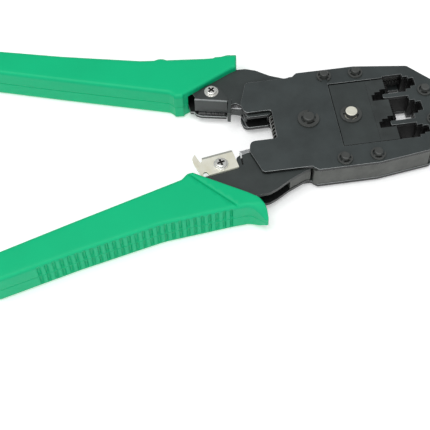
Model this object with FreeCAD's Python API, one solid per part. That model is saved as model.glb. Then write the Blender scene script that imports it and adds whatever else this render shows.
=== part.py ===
import FreeCAD, Part
import math
import os

# Hand crimping tool for three sizes of modular plug, lying on its side.
# Millimetres. +X runs along the head towards its nose and +Z is up.
# The origin is the middle of the pivot pin's lower end, on the surface
# that the tool lies on. The upper (+Y) handle is fixed to the head, the
# lower (-Y) handle turns about the pivot pin and drives the ram along +X.

os.makedirs("parts", exist_ok=True)

V = FreeCAD.Vector

# ---- heights ---------------------------------------------------------------
PIN_HEIGHT = 16.0            # pins stand from the rest plane to here
PLATE_T = 1.6                # head side plates
HEAD_LOW = 1.4               # underside of the bottom side plate
HEAD_T = 12.0                # over both side plates
HEAD_HIGH = HEAD_LOW + HEAD_T
MID_Z = HEAD_LOW + HEAD_T / 2
INNER_LOW = HEAD_LOW + PLATE_T
INNER_HIGH = HEAD_HIGH - PLATE_T
ARM_T = 1.5                  # pressed arm plates
ARM_GAP = 0.1                # arm plate to side plate
ARM_LOW = INNER_LOW + ARM_GAP
ARM_HIGH = INNER_HIGH - ARM_GAP
CORE_LOW = ARM_LOW + ARM_T   # space between the two plates of an arm
CORE_HIGH = ARM_HIGH - ARM_T
CORE_T = CORE_HIGH - CORE_LOW

# ---- head outline ----------------------------------------------------------
HEAD_HALF = 26.1             # half width of the head
NOSE_X = 56.8
NOSE_HALF = 12.8
CHAMFER_X = 47.4
CHAMFER_HALF = 22.9
TAPER_X = 24.6               # where the sides start to lean in
LOBE_X = -27.0               # back end of the two lobes
THROAT_X = -14.4             # bottom of the throat between the lobes
THROAT_HALF = 7.6
SHOULDER_X = -0.6

# ---- pins ------------------------------------------------------------------
PIVOT_R = 2.4
RAM_PIN_R = 2.6
RAM_PIN_X = 18.1
FRAME_PIN_R = 1.75
FRAME_PINS = [(10.9, 22.2), (24.6, 22.1), (10.9, -22.4), (24.6, -22.2),
              (51.6, 8.0), (51.6, -8.0)]
RUN_GAP = 0.05               # radial clearance of every turning fit
CLIP_T = 0.9                 # retaining clips
CLIP_SINK = 0.5              # depth of the groove that a clip sits in
CLIP_POCKET = 0.65           # gap between a clip's hoop and its pin
BIG_CLIP_R = 4.5
SMALL_CLIP_R = 3.1

# ---- ram and nests ---------------------------------------------------------
WINDOW_X = 11.7              # back edge of the ram window
WINDOW_LOW = -15.95
WINDOW_HIGH = 17.8
NEST_X = 44.1                # front wall of the plug bodies
NEST_STEP = 2.25             # depth of each step of the latch pocket
RAM_STROKE = 4.0
RAM_BACK_X = 12.05
SEAM_X = 27.5                # ram plates to punch block
RAM_FRONT_X = 35.5
FINGER_TIP_X = 33.5
FINGER_W = 2.3
RAM_GAP = 0.45               # ram to the edges of the window
# centre, full width, shoulder half width, latch half width, contacts
NESTS = {
    "8p": (0.25, 12.4, 3.65, 2.4, 8),
    "6p": (13.65, 9.8, 3.4, 2.2, 6),
    "4p": (-12.1, 7.7, 2.6, 1.8, 4),
}
FINGERS = [7.6, -7.1]      # middle of the wall between two nests
CONTACT_PITCH = 1.02
TOOTH_T = 0.5
TOOTH_REACH = 1.35
PLUNGER_REACH = 0.9

# ---- drive -----------------------------------------------------------------
HANDLE_TRAVEL = math.radians(35.0)
CAM_RISE = RAM_STROKE / HANDLE_TRAVEL
ROLLER_R = 4.0
HUB_R = 8.4

# ---- grips -----------------------------------------------------------------
GRIP_HIGH = 14.6
GRIP_ROUND = 3.2


def tangent_corner(before, corner, after, radius):
    """Start, middle and end of the arc that rounds one corner."""
    p = V(corner[0], corner[1], 0)
    to_before = V(before[0], before[1], 0).sub(p).normalize()
    to_after = V(after[0], after[1], 0).sub(p).normalize()
    half = to_before.getAngle(to_after) / 2
    reach = radius / math.tan(half)
    middle_way = to_before.add(to_after).normalize()
    centre = p + middle_way * (radius / math.sin(half))
    return p + to_before * reach, centre - middle_way * radius, p + to_after * reach


def outline(corners):
    """Closed wire through (x, y) or (x, y, radius) corners, rounded by their radii."""
    pieces = []
    count = len(corners)
    for i, corner in enumerate(corners):
        if len(corner) == 3 and corner[2] > 0:
            pieces.append(tangent_corner(corners[i - 1], corner, corners[(i + 1) % count], corner[2]))
        else:
            pieces.append((V(corner[0], corner[1], 0),))
    edges = []
    for i, piece in enumerate(pieces):
        if len(piece) == 3:
            edges.append(Part.Arc(piece[0], piece[1], piece[2]).toShape())
        start = piece[-1]
        end = pieces[(i + 1) % count][0]
        if start.distanceToPoint(end) > 1e-4:
            edges.append(Part.LineSegment(start, end).toShape())
    return Part.Wire(edges)


def prism(corners, low, high):
    face = Part.Face(outline(corners))
    face.translate(V(0, 0, low))
    return face.extrude(V(0, 0, high - low))


def block(x, y, z):
    """Box from three (low, high) pairs."""
    return Part.makeBox(x[1] - x[0], y[1] - y[0], z[1] - z[0], V(x[0], y[0], z[0]))


def post(x, y, radius, low, high):
    return Part.makeCylinder(radius, high - low, V(x, y, low))


def ring(x, y, inner, outer, low, high):
    return post(x, y, outer, low, high).cut(post(x, y, inner, low - 1, high + 1))


def polar(radius, degrees):
    """Point at an angle that is counted from the -X side of the pivot, +Y positive."""
    angle = math.radians(180.0 - degrees)
    return radius * math.cos(angle), radius * math.sin(angle)


def mirrored(corners):
    """The same outline on the other side of the XZ plane, still counter-clockwise."""
    return [(c[0], -c[1]) + tuple(c[2:]) for c in reversed(corners)]


def domed_pin(x, y, radius, low, high, edge=0.4):
    pin = post(x, y, radius, low, high)
    ends = [e for e in pin.Edges if isinstance(e.Curve, Part.Circle)]
    return pin.makeFillet(edge, ends)


def coil(start, direction, length, coil_r, wire_r, turns):
    """Compression spring with one flat dead turn at each end."""
    dead = 2.2 * wire_r
    pitch = (length - 2 * dead) / turns
    helix = Part.makeHelix(pitch, length - 2 * dead, coil_r)
    profile = Part.Wire([Part.Circle(V(coil_r, 0, 0), V(0, 1, 0), wire_r).toShape()])
    wire = Part.Wire(helix.Edges).makePipeShell([profile], True, True)
    low_ring = Part.makeTorus(coil_r, wire_r, V(0, 0, -0.6 * wire_r))
    high_ring = Part.makeTorus(coil_r, wire_r, V(0, 0, length - 2 * dead + 0.6 * wire_r))
    spring = wire.fuse([low_ring, high_ring])
    place = FreeCAD.Placement(start, FreeCAD.Rotation(V(0, 0, 1), direction))
    spring.Placement = place.multiply(FreeCAD.Placement(V(0, 0, dead), FreeCAD.Rotation()))
    return spring


def export(name, shape):
    if not shape.isValid():
        raise ValueError(name + " is not valid")
    solids = shape.Solids
    if len(solids) == 1:
        result = solids[0]
    else:
        result = Part.Compound(solids)
    result.exportStep("parts/" + name + ".step")
    print(name, len(solids), "solids", round(shape.Volume, 1), "mm3")


# ---- side plates -----------------------------------------------------------
HEAD_SIDE = [
    (NOSE_X, NOSE_HALF, 1.5), (CHAMFER_X, CHAMFER_HALF, 2.0), (TAPER_X, HEAD_HALF, 6.0),
    (SHOULDER_X, HEAD_HALF, 1.5), (SHOULDER_X - 2.4, 23.9, 1.0), (-23.0, 23.9, 1.8),
    (LOBE_X + 0.2, 12.6, 4.0), (LOBE_X + 1.2, THROAT_HALF, 2.6), (THROAT_X, THROAT_HALF, 1.2),
]
HEAD_OUTLINE = HEAD_SIDE + [(c[0], -c[1], c[2]) for c in reversed(HEAD_SIDE)]


def nest_pocket(name, low, high):
    centre, width, shoulder, latch, contacts = NESTS[name]
    body = block((RAM_FRONT_X, NEST_X), (centre - width / 2, centre + width / 2), (low, high))
    first = block((NEST_X - 1, NEST_X + NEST_STEP), (centre - shoulder, centre + shoulder), (low, high))
    second = block((NEST_X - 1, NEST_X + 2 * NEST_STEP), (centre - latch, centre + latch), (low, high))
    return body.fuse([first, second])


def finger(y, low, high):
    """Wall between two nests, reaching back into the ram's notch."""
    return prism([(FINGER_TIP_X, y - FINGER_W / 2, 0.5), (NEST_X + 0.5, y - FINGER_W / 2),
                  (NEST_X + 0.5, y + FINGER_W / 2), (FINGER_TIP_X, y + FINGER_W / 2, 0.5)], low, high)


def window(low, high):
    """Opening for the ram and the plugs, with the fingers left standing."""
    opening = block((WINDOW_X, RAM_FRONT_X), (WINDOW_LOW, WINDOW_HIGH), (low, high))
    opening = opening.fuse([nest_pocket(name, low, high) for name in NESTS])
    return opening.cut([finger(y, low - 1, high + 1) for y in FINGERS])


def side_plate(low):
    high = low + PLATE_T
    plate = prism(HEAD_OUTLINE, low, high).cut(window(low - 1, high + 1))
    holes = [post(x, y, FRAME_PIN_R, low - 1, high + 1) for x, y in FRAME_PINS]
    holes.append(post(0, 0, PIVOT_R, low - 1, high + 1))
    return plate.cut(holes)


def upper_side_wall():
    """Spacer between the side plates, relieved where the fixed arm's plates reach in."""
    front = prism([(46.6, 22.75), (TAPER_X, 25.9, 5.5), (15.6, 25.9), (15.6, 20.4), (27.0, 20.4),
                   (27.0, 21.3), (44.6, 21.3)], INNER_LOW, INNER_HIGH)
    tail = block((SHOULDER_X - 1.6, 15.7), (20.4, 25.9), (CORE_LOW, CORE_HIGH))
    wall = front.fuse(tail)
    return wall.cut([post(x, y, FRAME_PIN_R, 0, PIN_HEIGHT) for x, y in FRAME_PINS[:2]])


def lower_side_wall():
    """Spacer between the side plates. Its back end stops the opening handle."""
    wall = prism([(SHOULDER_X - 1.9, -25.4, 1.0), (SHOULDER_X, -25.9, 1.0), (TAPER_X, -25.9, 5.5),
                  (46.6, -22.75), (44.0, -19.9), (SHOULDER_X - 1.9, -19.9)], INNER_LOW, INNER_HIGH)
    return wall.cut([post(x, y, FRAME_PIN_R, 0, PIN_HEIGHT) for x, y in FRAME_PINS[2:4]])


def die_block():
    """Nests for three plugs, with the two fingers that divide them."""
    body = prism([(NEST_X, -19.7), (47.0, -22.5), (NOSE_X - 0.3, -NOSE_HALF + 0.1),
                  (NOSE_X - 0.3, NOSE_HALF - 0.1), (47.0, 22.5), (NEST_X, 21.0)], INNER_LOW, INNER_HIGH)
    for name in NESTS:
        body = body.cut(nest_pocket(name, 0, PIN_HEIGHT))
    body = body.fuse([finger(y, INNER_LOW, INNER_HIGH) for y in FINGERS]).removeSplitter()
    return body.cut([post(x, y, FRAME_PIN_R, 0, PIN_HEIGHT) for x, y in FRAME_PINS[4:]])


export("top_side_plate", side_plate(INNER_HIGH))
export("bottom_side_plate", side_plate(HEAD_LOW))
export("upper_side_wall", upper_side_wall())
export("lower_side_wall", lower_side_wall())
export("die_block", die_block())

# ---- frame pins and their retaining clips -----------------------------------
CLIP_OPENINGS = [-95.0, 100.0, 50.0, 30.0, 20.0, -20.0]    # way each frame pin's clip opens
CLIP_LEVELS = [HEAD_LOW - CLIP_T, HEAD_HIGH]


def clip(x, y, pin_r, outer, low, opening):
    """E-shaped retaining clip: a hoop with a mouth and three prongs that sit in the pin's groove."""
    high = low + CLIP_T
    seat = pin_r - CLIP_SINK
    shape = ring(0, 0, pin_r + CLIP_POCKET, outer, low, high)
    width = 0.5 * pin_r
    prongs = []
    for turn in (180.0, 78.0, -78.0):
        prong = block((0, outer - 0.4), (-width / 2, width / 2), (low, high))
        prong.rotate(V(0, 0, 0), V(0, 0, 1), turn)
        prongs.append(prong)
    mouth = block((0, 2 * outer), (-seat, seat), (low - 1, high + 1))
    shape = shape.fuse(prongs).cut([mouth, post(0, 0, seat, low - 1, high + 1)]).removeSplitter()
    shape.rotate(V(0, 0, 0), V(0, 0, 1), opening)
    shape.translate(V(x, y, 0))
    return shape


def clipped_pin(x, y, radius, low, high, levels, edge=0.4):
    """Round-ended pin with a groove for each of its clips."""
    pin = domed_pin(x, y, radius, low, high, edge)
    return pin.cut([ring(x, y, radius - CLIP_SINK, radius + 1, level, level + CLIP_T) for level in levels])


frame_pins = []
frame_clips = []
for (x, y), opening in zip(FRAME_PINS, CLIP_OPENINGS):
    frame_pins.append(clipped_pin(x, y, FRAME_PIN_R, 0, PIN_HEIGHT, CLIP_LEVELS))
    for level in CLIP_LEVELS:
        frame_clips.append(clip(x, y, FRAME_PIN_R, SMALL_CLIP_R, level, opening))
export("frame_pins", Part.Compound(frame_pins))
export("frame_pin_clips", Part.Compound(frame_clips))

# ---- pivot -----------------------------------------------------------------
PIVOT_OPENING = 55.0
export("pivot_pin", clipped_pin(0, 0, PIVOT_R, 0, PIN_HEIGHT, CLIP_LEVELS, 0.5))
export("pivot_clips", Part.Compound([
    clip(0, 0, PIVOT_R, BIG_CLIP_R, level, PIVOT_OPENING) for level in CLIP_LEVELS]))
BUSH_R = 3.9
export("pivot_bush", ring(0, 0, PIVOT_R + RUN_GAP, BUSH_R, ARM_LOW, ARM_HIGH))

# ---- arm plates ------------------------------------------------------------
# Both arms are pressed plates in pairs. The outline of the tail, inside the
# grip, is the same for both, mirrored in the XZ plane.
TAIL_OUTER = [(-27.4, 33.6, 6.0), (-40.0, 37.6, 20.0), (-62.0, 40.0, 30.0), (-128.0, 56.0, 2.0)]
TAIL_INNER = [(-125.0, 47.5, 2.0), (-56.0, 26.0, 10.0)]
FORK_R = 33.5                # middle of the first prong's path about the pivot
PRONG_HALF = 0.7

FIXED_ARM_HEAD = [
    (14.4, 19.4, 1.5), (14.4, 25.8, 1.5), (-3.4, 25.8, 1.0), (-5.6, 25.2, 3.0), (-11.8, 28.0),
    (-17.4, 31.9, 4.0), (-21.6, 33.4, 3.0),
] + TAIL_OUTER + TAIL_INNER + [(-54.2, 25.0), (-50.2, 23.7)]
FIXED_ARM_BACK = [
    (-24.6, 6.4, 1.0), (-15.6, 6.4, 1.0), (-11.6, 9.6, 2.0), (-2.0, 11.4, 8.0),
    (9.0, 12.0, 3.0), (11.2, 19.4, 2.0),
]
# the top plate ends under the blade cover; the bottom plate reaches past it as a jaw
TOP_JAW = [(-46.4, 23.9), (-44.9, 19.8), (-31.6, 16.8), (-31.2, 14.2), (-28.4, 14.9, 1.5), (-26.4, 13.0)]
BOTTOM_JAW = [(-48.0, 22.8), (-47.7, 18.8, 0.5), (-46.0, 18.4), (-45.2, 17.0, 1.0), (-43.4, 15.9, 1.0),
              (-32.6, 13.6), (-31.6, 16.4), (-26.6, 14.6)]
FORK_LOW = 6.4               # underside of the prongs
BAR_TOP = 9.6                # top of the bar between them, which carries the strip blade


def fork():
    """Two upright prongs that hold the cable side to side, joined by a bar."""
    first = prism([polar(FORK_R + PRONG_HALF, 16.4), polar(FORK_R - PRONG_HALF, 16.4), (-30.0, 17.0),
                   (-31.4, 17.0)], FORK_LOW, ARM_HIGH + 0.6)
    second = prism([(-25.7, 8.5), (-24.5, 8.5), (-24.5, 14.4), (-25.7, 14.4)], FORK_LOW, BAR_TOP)
    bar = prism([(-31.2, 13.5), (-23.6, 12.5), (-23.6, 14.2), (-31.2, 15.4)], FORK_LOW - 0.5, BAR_TOP)
    return first.fuse([second, bar]).removeSplitter()


def fixed_arm_plate(jaw, low):
    plate = prism(FIXED_ARM_HEAD + jaw + FIXED_ARM_BACK, low, low + ARM_T)
    screw = post(COVER_SCREW[0], COVER_SCREW[1], SCREW_SHANK_R, 0, PIN_HEIGHT)
    frame_pin = post(FRAME_PINS[0][0], FRAME_PINS[0][1], FRAME_PIN_R, 0, PIN_HEIGHT)
    return plate.cut([screw, frame_pin, fork()])


COVER_SCREW = (-38.0, 21.6)
STOP_SCREW = (-39.3, -17.0)
SCREW_SHANK_R = 1.5
SCREW_HEAD_R = 2.4
SCREW_HEAD_T = 1.1
SCREW_WASHER_R = 3.0
export("fixed_arm_top_plate", fixed_arm_plate(TOP_JAW, CORE_HIGH))
export("fixed_arm_bottom_plate", fixed_arm_plate(BOTTOM_JAW, ARM_LOW))

MOVING_SIDE = [
    (-3.1, -24.1, 1.0), (-5.6, -24.6, 2.0), (-12.6, -28.0), (-18.4, -31.6, 4.0), (-21.8, -33.2, 3.0),
] + [(c[0], -c[1], c[2]) for c in TAIL_OUTER + TAIL_INNER] + [
    (-47.0, -21.6), (-33.4, -18.6), (-32.4, -13.8, 0.4), (-31.2, -13.0), (-26.9, -12.0, 2.0), (-16.0, -10.2, 3.0),
    (-10.5, -6.0, 3.0), (-8.4, 0.0, 4.0),
]


def moving_arm_plate(low):
    """The top plate is slotted beside the anvil."""
    arm = prism(list(reversed(MOVING_SIDE + [(-3.0, -7.0)])), low, low + ARM_T)
    hub = post(0, 0, HUB_R, low, low + ARM_T)
    nose = prism([(0, -HUB_R + 0.5), (10.0, -3.0, 2.0), (12.0, 6.5, 3.0), (8.0, 9.5, 3.0), (0, HUB_R - 0.5)],
                 low, low + ARM_T)
    plate = arm.fuse([hub, nose]).removeSplitter()
    slot = block((-30.8, -30.1), (-17.8, -12.0), (CORE_HIGH - 1, ARM_HIGH + 1))
    screw = post(STOP_SCREW[0], STOP_SCREW[1], SCREW_SHANK_R, 0, PIN_HEIGHT)
    rivets = [post(x, y, RIVET_R, 0, PIN_HEIGHT) for x, y in RIVETS]
    return plate.cut([slot, screw, post(0, 0, BUSH_R, 0, PIN_HEIGHT)] + rivets)


RIVET_R = 1.1
RIVETS = [(7.2, 5.2), (-5.6, -7.6)]
export("moving_arm_top_plate", moving_arm_plate(CORE_HIGH))
export("moving_arm_bottom_plate", moving_arm_plate(ARM_LOW))


# ---- nose cam --------------------------------------------------------------
def cam_wire():
    """Cam edge: the roller's centre moves out evenly with the handle's angle."""
    points = []
    steps = 16
    lead = math.radians(6.0)
    for i in range(steps + 1):
        angle = -lead + (HANDLE_TRAVEL + 2 * lead) * i / steps
        reach = RAM_PIN_X + CAM_RISE * angle
        path_angle = math.atan2(CAM_RISE, reach)
        # the roller touches the cam along the normal of the centre's path
        x = reach * math.cos(angle) - ROLLER_R * math.cos(angle - path_angle)
        y = reach * math.sin(angle) - ROLLER_R * math.sin(angle - path_angle)
        points.append(V(x, y, 0))
    curve = Part.BSplineCurve()
    curve.interpolate(points)
    top = points[-1]
    back = V(2.0, 9.2, 0)
    side = V(-7.5, 4.5, 0)
    low = V(-7.4, -5.6, 0)
    heel = V(8.2, -6.6, 0)
    edges = [curve.toShape(), Part.LineSegment(top, back).toShape(), Part.LineSegment(back, side).toShape(),
             Part.LineSegment(side, low).toShape(), Part.LineSegment(low, heel).toShape(),
             Part.LineSegment(heel, points[0]).toShape()]
    return Part.Wire(edges)


def nose_cam():
    face = Part.Face(cam_wire())
    face.translate(V(0, 0, CORE_LOW))
    cam = face.extrude(V(0, 0, CORE_T))
    holes = [post(x, y, RIVET_R, 0, PIN_HEIGHT) for x, y in RIVETS]
    return cam.cut([post(0, 0, BUSH_R, 0, PIN_HEIGHT)] + holes)


export("nose_cam", nose_cam())
export("cam_rivets", Part.Compound([post(x, y, RIVET_R, ARM_LOW, ARM_HIGH) for x, y in RIVETS]))


def moving_arm_web():
    """Closed outer wall of the moving arm, from the head to the open channel."""
    return prism([(-12.6, -27.7), (-5.6, -24.4), (-3.3, -24.0), (-3.3, -19.5), (-4.8, -19.5), (-5.2, -22.4),
                  (-13.2, -26.1)], CORE_LOW, CORE_HIGH)


def fixed_arm_spacer():
    """Block between the fixed arm's plates that carries the two blades and the cover."""
    body = prism([(-44.2, 21.0), (-33.4, 18.6), (-25.6, 16.0), (-17.0, 15.0, 2.0), (-14.0, 22.0, 3.0),
                  (-20.0, 28.0, 2.0), (-30.0, 28.6, 3.0), (-43.0, 27.0, 2.0)], CORE_LOW, CORE_HIGH)
    return body.cut(post(COVER_SCREW[0], COVER_SCREW[1], SCREW_SHANK_R, 0, PIN_HEIGHT))


def moving_arm_spacer():
    """Block between the moving arm's plates that carries the anvil and the stop plate."""
    body = prism([(-46.0, -24.5), (-44.6, -21.8), (-33.2, -19.4), (-32.0, -14.6), (-30.9, -13.4), (-26.6, -12.4, 1.0),
                  (-20.0, -15.0, 3.0), (-22.0, -24.0, 3.0), (-44.0, -29.0, 2.0)], CORE_LOW, CORE_HIGH)
    screw = post(STOP_SCREW[0], STOP_SCREW[1], SCREW_SHANK_R, 0, PIN_HEIGHT)
    return body.cut(screw)


export("moving_arm_web", moving_arm_web())
export("fixed_arm_spacer", fixed_arm_spacer())
export("moving_arm_spacer", moving_arm_spacer())

# ---- blades, fork and cover on the fixed arm -------------------------------
COVER_T = 1.2
COVER_LEFT = (-45.7, 18.4)
COVER_RIGHT = (-32.1, 15.2)
COVER_DROP = 7.3             # depth of the folded face


def blade_cover():
    leaf = prism([COVER_LEFT, COVER_RIGHT, (-31.6, 17.4, 0.8), (-34.2, 23.2, 2.5), (-38.0, 25.6, 2.5),
                  (-41.6, 23.8, 2.0)], ARM_HIGH, ARM_HIGH + COVER_T)
    inset = 1.2
    skirt = prism([COVER_LEFT, COVER_RIGHT, (COVER_RIGHT[0] + 0.25, COVER_RIGHT[1] + inset),
                   (COVER_LEFT[0] + 0.25, COVER_LEFT[1] + inset)],
                  ARM_HIGH + COVER_T - COVER_DROP, ARM_HIGH + COVER_T)
    cover = leaf.fuse(skirt).removeSplitter()
    bend = [e for e in cover.Edges if e.BoundBox.ZMin > ARM_HIGH + COVER_T - 0.01
            and e.CenterOfMass.y < 17.8 and e.Length > 10]
    cover = cover.makeFillet(0.8, bend)
    return cover.cut(post(COVER_SCREW[0], COVER_SCREW[1], SCREW_SHANK_R, 0, PIN_HEIGHT))


def cross_screw(x, y, low, seat, turn):
    """Pan head screw with a cross recess, its head on the given seat."""
    top = seat + SCREW_HEAD_T
    shank = post(x, y, SCREW_SHANK_R, low, seat)
    head = post(x, y, SCREW_HEAD_R, seat, top)
    rim = [e for e in head.Edges if isinstance(e.Curve, Part.Circle) and e.CenterOfMass.z > seat + 0.5]
    head = head.makeFillet(0.6, rim)
    arm = 1.6
    slot = 0.42
    cross = []
    for angle in (turn, turn + 90.0):
        bar = block((-arm, arm), (-slot, slot), (top - 0.85, top + 1))
        bar.rotate(V(0, 0, 0), V(0, 0, 1), angle)
        bar.translate(V(x, y, 0))
        cross.append(bar)
    return shank.fuse(head).cut(cross).removeSplitter()


SCREW_WASHER_T = 0.5
COVER_SEAT = ARM_HIGH + COVER_T
export("blade_cover", blade_cover())
export("cover_screw", cross_screw(COVER_SCREW[0], COVER_SCREW[1], ARM_LOW, COVER_SEAT + SCREW_WASHER_T, 40.0))
export("cover_screw_washer", ring(COVER_SCREW[0], COVER_SCREW[1], SCREW_SHANK_R, SCREW_WASHER_R,
                                  COVER_SEAT, COVER_SEAT + SCREW_WASHER_T))


def cutter_blade():
    """Long razor blade that lies on the bottom plate's jaw, its edge behind the jaw's edge."""
    return prism([(-44.4, 17.2), (-33.0, 14.9), (-32.8, 17.4), (-43.8, 20.2)], CORE_LOW, CORE_LOW + 0.5)


def strip_blade():
    """Short stripping blade that lies on the fork's bar, with a curved back."""
    return prism([(-30.6, 13.7), (-26.1, 12.9), (-26.0, 13.6, 0.3), (-28.2, 15.4, 3.0), (-30.4, 14.6, 0.3)],
                 BAR_TOP, BAR_TOP + 0.5)


# ---- stop plate, anvil and their screw on the moving arm --------------------
STOP_T = 1.0
STOP_EDGE = [(-33.9, -10.0), (-46.7, -12.2)]
STOP_BEVEL = 1.3             # width of the ground slope along the edge
STOP_BEVEL_DROP = 0.5


def stop_plate():
    """Flat plate with a hooked tab at its back end and a ground slope along the edge that meets the blade."""
    high = ARM_HIGH + STOP_T
    tab = [(-46.9, -14.4), (-47.5, -14.8), (-48.5, -12.4), (-49.3, -10.3), (-50.6, -12.4, 1.0),
           (-50.3, -14.8, 3.0), (-48.4, -19.8, 2.0), (-47.4, -22.2)]
    notch = [(-47.0, -20.4), (-46.3, -19.6, 0.4), (-45.4, -20.0, 0.3), (-44.7, -21.6)]
    plate = prism(STOP_EDGE + tab + notch + [(-32.1, -19.2, 0.4)], ARM_HIGH, high)
    slope = Part.Face(Part.makePolygon([V(0, 0.01, high - STOP_BEVEL_DROP), V(0, 0.01, high + 0.1),
                                        V(0, -STOP_BEVEL, high + 0.1), V(0, -STOP_BEVEL, high),
                                        V(0, 0.01, high - STOP_BEVEL_DROP)]))
    run = V(STOP_EDGE[0][0] - STOP_EDGE[1][0], STOP_EDGE[0][1] - STOP_EDGE[1][1], 0)
    slope = slope.extrude(V(run.Length + 0.5, 0, 0))
    slope.rotate(V(0, 0, 0), V(0, 0, 1), math.degrees(math.atan2(run.y, run.x)))
    slope.translate(V(STOP_EDGE[1][0], STOP_EDGE[1][1], 0))
    return plate.cut([slope, post(STOP_SCREW[0], STOP_SCREW[1], SCREW_SHANK_R, 0, PIN_HEIGHT)])


def anvil_strip():
    """Steel bar on the moving arm's edge that the strip blade closes on."""
    return prism([(-30.9, -10.9), (-29.9, -12.7), (-26.6, -11.9), (-26.2, -10.0)], ARM_LOW, ARM_HIGH)


STOP_SEAT = ARM_HIGH + STOP_T
export("cutter_blade", cutter_blade())
export("strip_blade", strip_blade())
export("cable_fork", fork())
export("stop_plate", stop_plate())
export("anvil_strip", anvil_strip())
export("stop_screw", cross_screw(STOP_SCREW[0], STOP_SCREW[1], ARM_LOW, STOP_SEAT + SCREW_WASHER_T, 15.0))
export("stop_screw_washer", ring(STOP_SCREW[0], STOP_SCREW[1], SCREW_SHANK_R, SCREW_WASHER_R,
                                 STOP_SEAT, STOP_SEAT + SCREW_WASHER_T))

# ---- ram -------------------------------------------------------------------
RAM_LOW_Y = WINDOW_LOW + RAM_GAP
RAM_HIGH_Y = WINDOW_HIGH - RAM_GAP
RAM_PLATE_T = 1.5
RAM_SINK = 0.3               # the ram lies this far below the side plates' faces
RAM_TOP_Z = HEAD_HIGH - RAM_SINK
RAM_BOTTOM_Z = HEAD_LOW + RAM_SINK


def ram_plate(low):
    plate = block((RAM_BACK_X, SEAM_X), (RAM_LOW_Y, RAM_HIGH_Y), (low, low + RAM_PLATE_T))
    return plate.cut(post(RAM_PIN_X, 0, RAM_PIN_R, 0, PIN_HEIGHT))


def finger_notch(y):
    """Stair-shaped notch in the punch block that clears one finger."""
    depth = FINGER_TIP_X - RAM_STROKE - 0.6
    deep = block((depth, RAM_FRONT_X + 1), (y - FINGER_W / 2 - RAM_GAP, y + FINGER_W / 2 + RAM_GAP),
                 (0, PIN_HEIGHT))
    first = block((30.4, RAM_FRONT_X + 1), (y, y + 2.9), (0, PIN_HEIGHT))
    second = block((32.9, RAM_FRONT_X + 1), (y, y + 4.1), (0, PIN_HEIGHT))
    return [deep, first, second]


def punch_block():
    low = RAM_BOTTOM_Z
    body = block((SEAM_X, RAM_FRONT_X), (RAM_LOW_Y, RAM_HIGH_Y), (low, RAM_TOP_Z))
    for y in FINGERS:
        body = body.cut(finger_notch(y))
    return body


def ram_core():
    """Thrust bar behind the punch, with two bars that carry the ram plates and the springs' ears."""
    low = RAM_BOTTOM_Z + RAM_PLATE_T
    high = RAM_TOP_Z - RAM_PLATE_T
    bar = block((23.0, SEAM_X), (RAM_LOW_Y, RAM_HIGH_Y), (low, high))
    rail = block((RAM_BACK_X, 23.0), (RAM_LOW_Y, RAM_LOW_Y + 3.0), (low, high))
    ears = block((25.0, SEAM_X), (-19.4, 20.1), (CORE_LOW + 0.6, CORE_HIGH - 0.6))
    return bar.fuse([rail, ears]).removeSplitter()


export("ram_top_plate", ram_plate(RAM_TOP_Z - RAM_PLATE_T))
export("ram_bottom_plate", ram_plate(RAM_BOTTOM_Z))
export("punch_block", punch_block())
export("ram_core", ram_core())
RAM_CLIP_LEVELS = [RAM_BOTTOM_Z - CLIP_T, RAM_TOP_Z]
RAM_PIN_OPENING = 75.0
export("ram_pin", clipped_pin(RAM_PIN_X, 0, RAM_PIN_R, 0.3, PIN_HEIGHT - 0.2, RAM_CLIP_LEVELS, 0.5))
export("ram_pin_clips", Part.Compound([
    clip(RAM_PIN_X, 0, RAM_PIN_R, BIG_CLIP_R, level, RAM_PIN_OPENING) for level in RAM_CLIP_LEVELS]))
export("cam_roller", ring(RAM_PIN_X, 0, RAM_PIN_R + RUN_GAP, ROLLER_R, CORE_LOW + 0.1, CORE_HIGH - 0.1))


def contact_comb(name):
    """Row of blades that presses a plug's contacts home."""
    centre, width, shoulder, latch, contacts = NESTS[name]
    low = INNER_HIGH - 2.6
    high = INNER_HIGH - 0.1
    half = contacts * CONTACT_PITCH / 2 + 0.5
    comb = block((RAM_FRONT_X, RAM_FRONT_X + 0.3), (centre - half, centre + half), (low, high))
    teeth = []
    for i in range(contacts):
        y = centre + (i - (contacts - 1) / 2) * CONTACT_PITCH
        teeth.append(block((RAM_FRONT_X, RAM_FRONT_X + TOOTH_REACH), (y - TOOTH_T / 2, y + TOOTH_T / 2),
                           (low, high)))
    return comb.fuse(teeth).removeSplitter()


def strain_plunger(name):
    """Bar that presses a plug's cable clamp down."""
    centre, width, shoulder, latch, contacts = NESTS[name]
    half = contacts * CONTACT_PITCH / 2
    return block((RAM_FRONT_X, RAM_FRONT_X + PLUNGER_REACH), (centre - half, centre + half),
                 (INNER_LOW + 1.0, INNER_LOW + 2.4))


for name in NESTS:
    export("contact_comb_" + name, contact_comb(name))
    export("strain_plunger_" + name, strain_plunger(name))

# ---- springs ---------------------------------------------------------------
RETURN_X = -12.6
RETURN_COIL_R = 2.25
export("return_spring", coil(V(RETURN_X, -10.4, MID_Z), V(0, 1, 0), 19.0, RETURN_COIL_R, 0.5, 9))
RAM_SPRING_R = 0.95
RAM_SPRING_WIRE = 0.22
RAM_SPRINGS_Y = [-17.8, 19.75]
ram_springs = []
for y in RAM_SPRINGS_Y:
    ram_springs.append(coil(V(SEAM_X + 0.05, y, MID_Z), V(1, 0, 0), NEST_X - SEAM_X - 0.1, RAM_SPRING_R,
                            RAM_SPRING_WIRE, 12))
export("ram_return_springs", Part.Compound(ram_springs))


export("fixed_spring_seat", block((RETURN_X - 3.2, RETURN_X + 3.2), (8.7, 10.4), (CORE_LOW, CORE_HIGH)))
export("moving_spring_seat", block((RETURN_X - 3.2, RETURN_X + 3.0), (-12.6, -10.5), (CORE_LOW, CORE_HIGH)))

# ---- grips -----------------------------------------------------------------
GRIP_BACK = -139.0


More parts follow.
